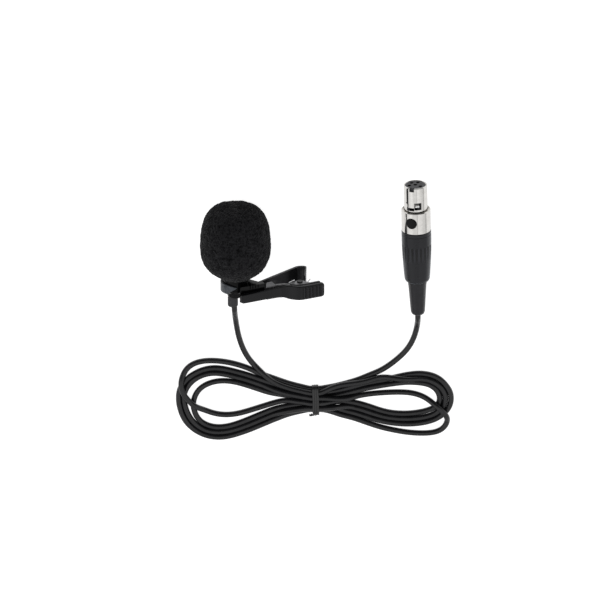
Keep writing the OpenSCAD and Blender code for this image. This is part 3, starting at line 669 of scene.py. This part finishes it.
def foam_ball():
    prof = along(np.array(smooth_route(
        np.array([(r, y, 0.0) for r, y in FOAM]), 0.2)[0])[:, :2], 0.225)
    prof[:, 0] = np.maximum(prof[:, 0], 0)
    cols = 360
    ang = np.linspace(0, 2 * math.pi, cols, endpoint=False)
    rows = prof[1:]
    tang = np.gradient(prof, axis=0)[1:]
    nrm = np.stack([-tang[:, 1], tang[:, 0]], 1)
    nrm /= np.linalg.norm(nrm, axis=1)[:, None]
    ca, sa = np.cos(ang), np.sin(ang)
    P = np.stack([rows[:, 0][:, None] * ca, np.repeat(rows[:, 1][:, None],
                  cols, 1), rows[:, 0][:, None] * sa], 2)
    N = np.stack([nrm[:, 0][:, None] * ca, np.repeat(nrm[:, 1][:, None],
                  cols, 1), nrm[:, 0][:, None] * sa], 2)
    P, N = P.reshape(-1, 3), N.reshape(-1, 3)
    if np.mean((N * (P - [0, 4, 0])).sum(1)) < 0:
        N = -N
    f1, f2 = worley(P, 0.62, 3)
    g1, _ = worley(P, 0.38, 17)
    strut = np.clip((f2 - f1) / 0.35, 0, 1)
    disp = (-0.26 * strut * strut * (3 - 2 * strut) + 0.02
            - 0.08 * np.clip(0.5 - g1, 0, 1)
            + 0.34 * value_noise(P, 0.95, 5) + 0.2 * value_noise(P, 2.9, 9))
    edge = np.clip((rows[:, 0] - 4.95) / 1.0, 0, 1)
    edge[: len(edge) // 2] = 1
    P = P + N * (disp * np.repeat(edge, cols))[:, None]
    verts = [np.array([0, prof[0, 1] - 0.05, 0])] + list(P)
    n = len(rows)
    faces = [[0, 1 + (k + 1) % cols, 1 + k] for k in range(cols)]
    for i in range(n - 1):
        a, b = 1 + i * cols, 1 + (i + 1) * cols
        for k in range(cols):
            q = (k + 1) % cols
            faces.append([a + k, a + q, b + q, b + k])
    # the bore: a short lip, the wall and its end
    last = 1 + (n - 1) * cols
    step = cols // 4
    inner = []
    for r, y in ((4.76, -8.5), (4.76, 5.0)):
        start = len(verts)
        verts += [np.array([r * c, y, r * s]) for c, s in zip(ca, sa)]
        inner.append(start)
    for a, b in ((last, inner[0]), (inner[0], inner[1])):
        for k in range(cols):
            q = (k + 1) % cols
            faces.append([a + k, a + q, b + q, b + k])
    faces.append([inner[1] + k for k in range(cols)][::-1])
    return mesh_from("foam_ball", np.array(verts) + MIC, faces)


foam = piece("foam_windscreen", foam_ball(), "foam")
foam.data.materials.append(M["foam"])
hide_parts("windscreen")


# ------------------------------------------------------------------- lever
CLIP_TILT = math.radians(17)
CLIP_AT = np.array([-9.7, -11.8, 13.0])
CLIP_MID = -1.6
LEVER_TOP = [(-0.62, 8.45), (-0.58, 8.7), (-0.5, 8.95), (-0.36, 9.18),
             (-0.15, 9.33), (0.1, 9.4), (1.2, 9.35), (5, 8.7), (9.2, 7.95),
             (12, 7.35), (13.6, 7.08), (14.6, 7.0), (15.6, 7.1),
             (16.5, 7.35), (17.4, 7.8), (18.3, 8.35), (19.2, 9.0), (20, 9.6),
             (20.6, 10.0), (21.3, 10.3), (22.1, 10.42), (23, 10.45),
             (25, 10.25), (29.4, 9.7), (30.5, 9.55), (30.9, 9.45),
             (31.15, 9.28), (31.3, 9.05), (31.38, 8.8)]
LEVER_LOW = [(-0.62, 8.45), (-0.58, 8.25), (-0.45, 8.03), (-0.2, 7.88),
             (0.2, 7.77), (5, 7.12), (9.2, 6.47), (12, 5.97), (14.6, 5.62),
             (16.5, 5.87), (18.3, 6.72), (20, 7.82), (21.3, 8.52),
             (23, 8.67), (25, 8.47), (29.4, 7.92), (30.4, 7.84), (31, 8.02),
             (31.25, 8.3), (31.38, 8.8)]
LEVER_HALF = [(-0.62, 0.55), (-0.58, 0.8), (-0.45, 1.15), (-0.2, 1.5),
              (0.3, 1.72), (9, 1.84), (14.6, 1.95), (15.8, 2.05),
              (17, 2.35), (18, 2.68), (18.8, 2.75), (30.2, 2.68),
              (30.75, 2.55), (31.1, 2.3), (31.28, 2.0), (31.38, 1.6)]
RIBS = [23.3 + 1.4 * i for i in range(6)]


def on_clip(P):
    c, s = math.cos(CLIP_TILT), math.sin(CLIP_TILT)
    P = np.asarray(P, float)
    return CLIP_AT + np.stack([P[:, 0] * c + P[:, 2] * s, P[:, 1],
                               -P[:, 0] * s + P[:, 2] * c], 1)


def lever_mesh():
    """Moulded lever: rounded sections along its length, a dished waist and
    ribs across the grip."""
    xs = [-0.62]
    while xs[-1] < 31.37:
        x = xs[-1]
        step = 0.05 if x < 0.5 or x > 30.6 else 0.07 if x > 22.5 else 0.22
        xs.append(min(x + step, 31.38))
    xs = np.array(xs)
    top = np.interp(xs, *zip(*LEVER_TOP))
    low = np.interp(xs, *zip(*LEVER_LOW))
    half = np.interp(xs, *zip(*LEVER_HALF))
    for _ in range(3):
        inner = slice(14, -14)
        for v in (top, low, half):
            v[inner] = (0.25 * np.roll(v, 1) + 0.5 * v
                        + 0.25 * np.roll(v, -1))[inner]
    m = 72
    th = 2 * math.pi * (np.arange(m) + 0.5) / m
    c, s = np.cos(th), np.sin(th)
    sec_y = np.sign(c) * np.abs(c) ** np.where(s > 0, 0.3, 0.25)
    sec_z = np.sign(s) * np.abs(s) ** np.where(s > 0, 0.36, 0.25)
    verts = []
    for x, t, b, w in zip(xs, top, low, half):
        mid = b + 0.42 * (t - b)
        y = w * sec_y
        z = np.where(sec_z > 0, mid + (t - mid) * sec_z,
                     mid + (mid - b) * sec_z)
        ridge = 0.0
        for r in RIBS:
            u = abs(x - r) / 0.46
            if u < 1:
                ridge = max(ridge, 0.36 * math.cos(u * math.pi / 2) ** 0.9)
        across = np.clip((w - 0.12 - np.abs(y)) / 0.3, 0, 1)
        z = z + (ridge - (0.14 if 22.8 < x < 30.7 else 0.0)) * across \
            * np.clip(sec_z * 1.6, 0, 1) ** 2
        verts += [(x, CLIP_MID + yy, zz) for yy, zz in zip(y, z)]
    n = len(xs)
    faces = []
    for i in range(n - 1):
        for k in range(m):
            q = (k + 1) % m
            faces.append([i * m + k, i * m + q, (i + 1) * m + q,
                          (i + 1) * m + k])
    faces.append(list(range(m)))
    faces.append([(n - 1) * m + k for k in range(m)][::-1])
    return mesh_from("lever_shell", on_clip(verts), faces)


lever = piece("lever_shell", lever_mesh(), "lever")
lever.data.materials.append(M["lever_black"])
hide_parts("clip_lever")

# Rolled edges on the formed and turned metal
for name, width in (("clip_arm", 0.1), ("lever_liner", 0.07),
                    ("holder_ring", 0.08), ("rear_cap", 0.05)):
    bev = nodes[name].modifiers.new("edge", "BEVEL")
    bev.width = width * MM
    bev.segments = 2
    bev.limit_method = "ANGLE"
    bev.angle_limit = math.radians(38)
    bev.use_clamp_overlap = True

# --------------------------------------------------------------------- tie
def wound_tie():
    """A thin flat band wound three times round the waist, with its end
    twisted at the bottom."""
    turns, per = 2.9, 96
    t = np.arange(int(turns * per) + 1) / per
    a = 2 * math.pi * t - 1.9
    hy, hz = 5.75, 2.12
    e = 2 / 2.7
    c, s = np.cos(a), np.sin(a)
    y = hy * np.sign(c) * np.abs(c) ** e
    z = hz * np.sign(s) * np.abs(s) ** e
    x = -1.08 + 2.2 * t / turns + 0.06 * np.sin(5 * a)
    path = np.stack([x, y, z], 1)
    grow = 1 + 0.02 * np.sin(3.1 * a)
    path[:, 1] *= grow
    verts, faces = [], []
    w, h = 0.42, 0.25
    sec = [(math.cos(q), math.sin(q)) for q in
           np.linspace(0, 2 * math.pi, 16, endpoint=False)]
    for i, p in enumerate(path):
        q0, q1 = path[max(i - 1, 0)], path[min(i + 1, len(path) - 1)]
        tg = (q1 - q0) / np.linalg.norm(q1 - q0)
        side = np.array([1.0, 0, 0])
        side = side - tg * (side @ tg)
        side /= np.linalg.norm(side)
        out = np.cross(tg, side)
        for u, v in sec:
            verts.append(p + side * w * u + out * h * v)
    m = len(sec)

    def skin(first, count):
        for i in range(first, first + count - 1):
            for k in range(m):
                q = (k + 1) % m
                faces.append([i * m + k, i * m + q, (i + 1) * m + q,
                              (i + 1) * m + k])
        faces.append([first * m + k for k in range(m)][::-1])
        faces.append([(first + count - 1) * m + k for k in range(m)])

    skin(0, len(path))
    # the two ends, twisted together below the waist
    a0, a1 = np.array([0.2, -5.75, -0.1]), np.array([-2.2, -6.55, -0.95])
    dirn = (a1 - a0) / np.linalg.norm(a1 - a0)
    e1 = np.cross(dirn, [0, 0, 1.0])
    e1 /= np.linalg.norm(e1)
    e2 = np.cross(dirn, e1)
    for phase in (0.0, math.pi):
        first = len(verts) // m
        for u in np.linspace(0, 1, 40):
            w_ = 2 * math.pi * 1.6 * u + phase
            c0 = a0 + (a1 - a0) * u \
                + 0.27 * (math.cos(w_) * e1 + math.sin(w_) * e2)
            r = 0.3 if u < 0.97 else 0.22
            for cu, cv in sec:
                verts.append(c0 + r * (cu * e1 + cv * e2))
        skin(first, 40)
    return mesh_from("tie_band", np.array(verts)
                     + [19.6, TIE_Y, 2.38], faces)


tie = piece("tie_band", wound_tie(), "microphone")
tie.data.materials.append(M["tie_black"])
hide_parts("cable_tie")

# ------------------------------------------------------------ floor, light
me = bpy.data.meshes.new("floor")
me.from_pydata([(-4, -4, 0), (4, -4, 0), (4, 4, 0), (-4, 4, 0)], [],
               [(0, 1, 2, 3)])
floor = bpy.data.objects.new("floor", me)
scene.collection.objects.link(floor)
fm = bpy.data.materials.new("floor")
fm.use_nodes = True
fb = fm.node_tree.nodes["Principled BSDF"]
fb.inputs["Base Color"].default_value = (0.5, 0.5, 0.5, 1)
fb.inputs["Roughness"].default_value = 0.9
fb.inputs["Specular IOR Level"].default_value = 0.0
fb.inputs["Emission Color"].default_value = (1, 1, 1, 1)
f_lp = fm.node_tree.nodes.new("ShaderNodeLightPath")
f_glow = fm.node_tree.nodes.new("ShaderNodeMapRange")
f_glow.inputs["To Min"].default_value = 0.6
f_glow.inputs["To Max"].default_value = 0.86
fm.node_tree.links.new(f_lp.outputs["Is Camera Ray"], f_glow.inputs["Value"])
fm.node_tree.links.new(f_glow.outputs["Result"],
                       fb.inputs["Emission Strength"])
me.materials.append(fm)

world = bpy.data.worlds.new("studio")
scene.world = world
world.use_nodes = True
wn = world.node_tree
for n in list(wn.nodes):
    wn.nodes.remove(n)


def wnode(kind, **props):
    n = wn.nodes.new(kind)
    for k, v in props.items():
        setattr(n, k, v)
    return n


def wspan(v, lo, hi, a, b):
    n = wnode("ShaderNodeMapRange", interpolation_type="SMOOTHSTEP")
    wn.links.new(v, n.inputs["Value"])
    for k, x in (("From Min", lo), ("From Max", hi), ("To Min", a),
                 ("To Max", b)):
        if isinstance(x, (int, float)):
            n.inputs[k].default_value = x
        else:
            wn.links.new(x, n.inputs[k])
    return n.outputs["Result"]


def wmath(op, a, b=0.0):
    n = wnode("ShaderNodeMath", operation=op)
    for sock, v in zip(n.inputs, (a, b)):
        if isinstance(v, (int, float)):
            sock.default_value = v
        else:
            wn.links.new(v, sock)
    return n.outputs[0]


# A tent of soft white panels: open above, darker toward the floor's rim and
# toward the side the camera stands on, with one seam between two panels
w_sep = wnode("ShaderNodeSeparateXYZ")
wn.links.new(wnode("ShaderNodeTexCoord").outputs["Generated"],
             w_sep.inputs[0])
wx, wy, wz = (w_sep.outputs[k] for k in "XYZ")
rim = wspan(wx, -0.5, 0.5, 0.08, 0.6)
high = wspan(wz, 0.35, 0.92, 0.82, 1.06)
up = wspan(wz, 0.14, 0.3, rim, high)
front = wspan(wy, 0.25, 0.5, 1.0, 0.1)
seam = wspan(wmath("ABSOLUTE", wmath("SUBTRACT", wx, 0.18)), 0.012, 0.05,
             0.62, 1.0)
left = wspan(wx, -0.62, -0.3, 1.12, 0.84)
right = wspan(wx, 0.1, 0.3, 0.0, 0.14)
panels = wmath("ADD", left, right)
tent = wmath("MULTIPLY", wmath("MULTIPLY", up, front),
             wmath("MULTIPLY", seam, panels))
w_lp = wnode("ShaderNodeLightPath")
shown = wnode("ShaderNodeMix", data_type="RGBA")
wn.links.new(w_lp.outputs["Is Camera Ray"], shown.inputs["Factor"])
wn.links.new(tent, shown.inputs["A"])
shown.inputs["B"].default_value = (0.95, 0.95, 0.95, 1)
w_bg = wnode("ShaderNodeBackground")
wn.links.new(shown.outputs["Result"], w_bg.inputs["Color"])
w_out = wnode("ShaderNodeOutputWorld")
wn.links.new(w_bg.outputs[0], w_out.inputs[0])


def area(name, loc, size, power, aim=(0.015, -0.03, 0.0)):
    d = bpy.data.lights.new(name, "AREA")
    d.shape = "RECTANGLE"
    d.size, d.size_y = size
    d.energy = power
    o = bpy.data.objects.new(name, d)
    scene.collection.objects.link(o)
    o.location = loc
    o.rotation_euler = (Vector(aim) - Vector(loc)).to_track_quat(
        "-Z", "Y").to_euler()
    return o


key = area("key", (-0.25, 0.55, 1.4), (0.25, 0.25), 4)
key.visible_glossy = False

scene.view_settings.view_transform = "Standard"
scene.view_settings.look = "None"

bpy.context.view_layer.update()
